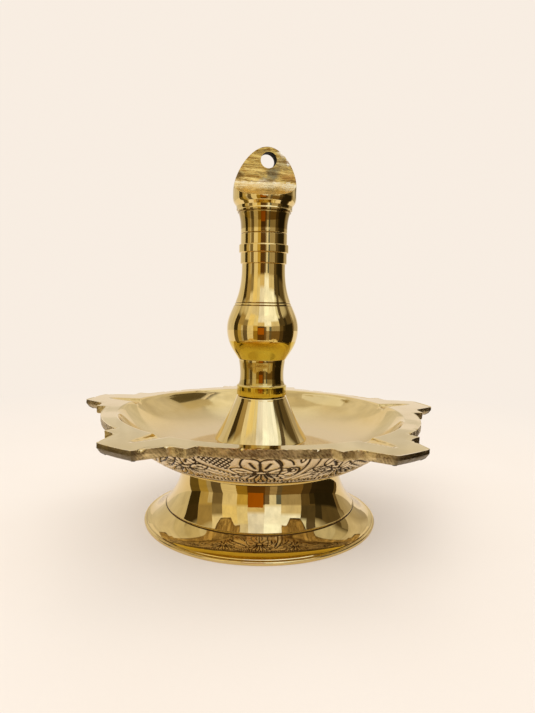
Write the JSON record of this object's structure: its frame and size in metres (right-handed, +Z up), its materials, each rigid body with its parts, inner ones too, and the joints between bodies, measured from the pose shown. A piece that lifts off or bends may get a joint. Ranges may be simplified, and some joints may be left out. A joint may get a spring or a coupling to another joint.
{
  "type": "hanging diya",
  "caption": "Polished brass hanging oil lamp with a spouted bowl for wicks on a flared foot, and a turned stem with a hole in its tab to hang it by.",
  "frame": {"origin": "on the surface that the lamp stands on, at the axis of foot, bowl and stem", "axes": "+Z up along the stem; +Y through the spout that points away from the viewer; +X to the viewer's right, in the plane of the hanging tab"},
  "size_m": [0.1614, 0.154, 0.1575],
  "materials": {
    "turned_brass": "polished on the lathe, with fine turning marks",
    "cast_brass": "cast, polished above and inside, engraved on a matt band below",
    "stamped_brass": "plain stamped sheet, unpolished",
    "plated_steel": "zinc-plated"
  },
  "bodies": {
    "root": {"foot": "turned_brass", "spout_bowl": "cast_brass", "bell": "turned_brass", "hanging_stem": "turned_brass", "clamp_bolt": "plated_steel", "clamp_washer": "stamped_brass", "clamp_nut": "plated_steel"}
  },
  "joints": []
}
